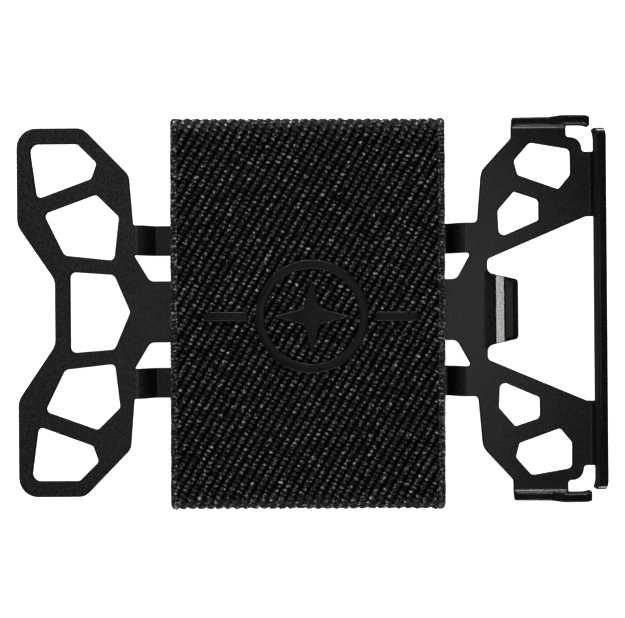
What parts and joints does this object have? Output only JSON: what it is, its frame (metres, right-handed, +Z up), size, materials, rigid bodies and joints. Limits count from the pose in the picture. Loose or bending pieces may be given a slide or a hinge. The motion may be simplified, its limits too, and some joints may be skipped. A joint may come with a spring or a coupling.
{
  "type": "minimalist wallet",
  "caption": "Slim card wallet: a bent black steel frame with cut-out windows and an opener lip, and a woven elastic loop that holds cards in front and bills behind.",
  "frame": {"origin": "on the surface the wallet lies on, under the middle of the steel sheet and within half a millimetre of the middle of the whole wallet", "axes": "+X along the wallet towards the card stop, +Y across it, +Z up out of the card side"},
  "size_m": [0.0873, 0.059, 0.009],
  "materials": {
    "black_coated_steel": "fine matte black oxide coat on steel",
    "bare_steel": "bare ground steel in the groove of the opener lip",
    "elastic_webbing": "black twill-woven elastic webbing",
    "pressed_film": "smooth satin film pressed into the weave",
    "sewing_thread": "black twisted polyester thread"
  },
  "bodies": {
    "frame": {"thumb_end": "black_coated_steel", "centre_bar": "black_coated_steel", "rail_upper": "black_coated_steel", "rail_lower": "black_coated_steel", "opener_end": "black_coated_steel", "opener_lip": "black_coated_steel", "end_wall": "black_coated_steel", "corner_tab_upper": "black_coated_steel", "corner_tab_lower": "black_coated_steel"},
    "band": {"band_rear_upper": "elastic_webbing", "band_rear_lower": "elastic_webbing", "band_fold_upper": "elastic_webbing", "band_fold_lower": "elastic_webbing", "seam_thread": "sewing_thread"},
    "band_face": {"band_front": "elastic_webbing", "emblem_film": "pressed_film"}
  },
  "joints": [
    {"name": "band_shift", "type": "slide", "parent": "frame", "child": "band", "axis": [1, 0, 0], "range_m": [-0.0021, 0.0004]},
    {"name": "band_lift", "type": "slide", "parent": "band", "child": "band_face", "axis": [0, 0, 1], "range_m": [0, 0.0076], "stiffness_N_per_m": 400, "deforming": ["band_fold_upper", "band_fold_lower"]}
  ]
}
